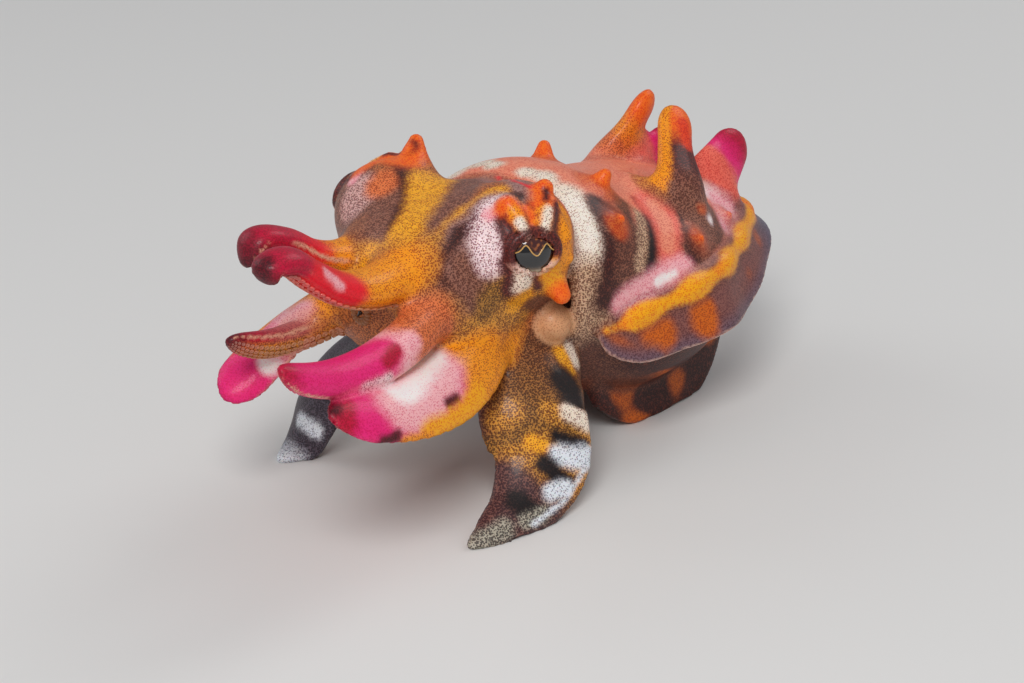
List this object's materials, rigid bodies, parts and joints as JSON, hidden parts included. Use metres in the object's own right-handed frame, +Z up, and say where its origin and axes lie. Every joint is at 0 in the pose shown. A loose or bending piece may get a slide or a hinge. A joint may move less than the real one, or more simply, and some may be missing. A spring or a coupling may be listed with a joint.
{
  "type": "flamboyant cuttlefish model",
  "caption": "Life-size still model of a flamboyant cuttlefish that walks on its lower arms, with raised skin flaps, side fins and a fan of arms.",
  "frame": {"origin": "centre of the bounding box's bottom face, on the floor that the model stands on", "axes": "+X from the head towards the tail, +Z up, -Y the animal's left side"},
  "size_m": [0.1054, 0.0476, 0.0439],
  "materials": {
    "mantle_skin": "moist mottled skin",
    "head_skin": "moist speckled skin",
    "arm_skin": "moist smooth skin",
    "flap_skin": "moist smooth skin",
    "fin_skin": "thin moist skin",
    "leg_skin": "moist mottled skin",
    "lip_skin": "moist pale skin",
    "eye": "wet and glossy"
  },
  "bodies": {
    "root": {"arm_1_left_root": "arm_skin", "arm_1_left_tip": "arm_skin", "arm_1_right_root": "arm_skin", "arm_1_right_tip": "arm_skin", "arm_2_left_root": "arm_skin", "arm_2_left_tip": "arm_skin", "arm_2_right_root": "arm_skin", "arm_2_right_tip": "arm_skin", "arm_3_left_root": "arm_skin", "arm_3_left_tip": "arm_skin", "arm_3_right_root": "arm_skin", "arm_3_right_tip": "arm_skin", "arm_4_left_root": "leg_skin", "arm_4_left_tip": "leg_skin", "arm_4_right_root": "leg_skin", "arm_4_right_tip": "leg_skin", "eye_left": "eye", "eye_right": "eye", "fin_left": "fin_skin", "fin_right": "fin_skin", "funnel": "lip_skin", "head": "head_skin", "mantle": "mantle_skin", "mantle_flap_mid_left": "flap_skin", "mantle_flap_mid_right": "flap_skin", "mantle_flap_rear_left": "flap_skin", "mantle_flap_rear_right": "flap_skin", "mouth": "lip_skin", "walking_ridge_left": "leg_skin", "walking_ridge_right": "leg_skin"}
  },
  "joints": []
}
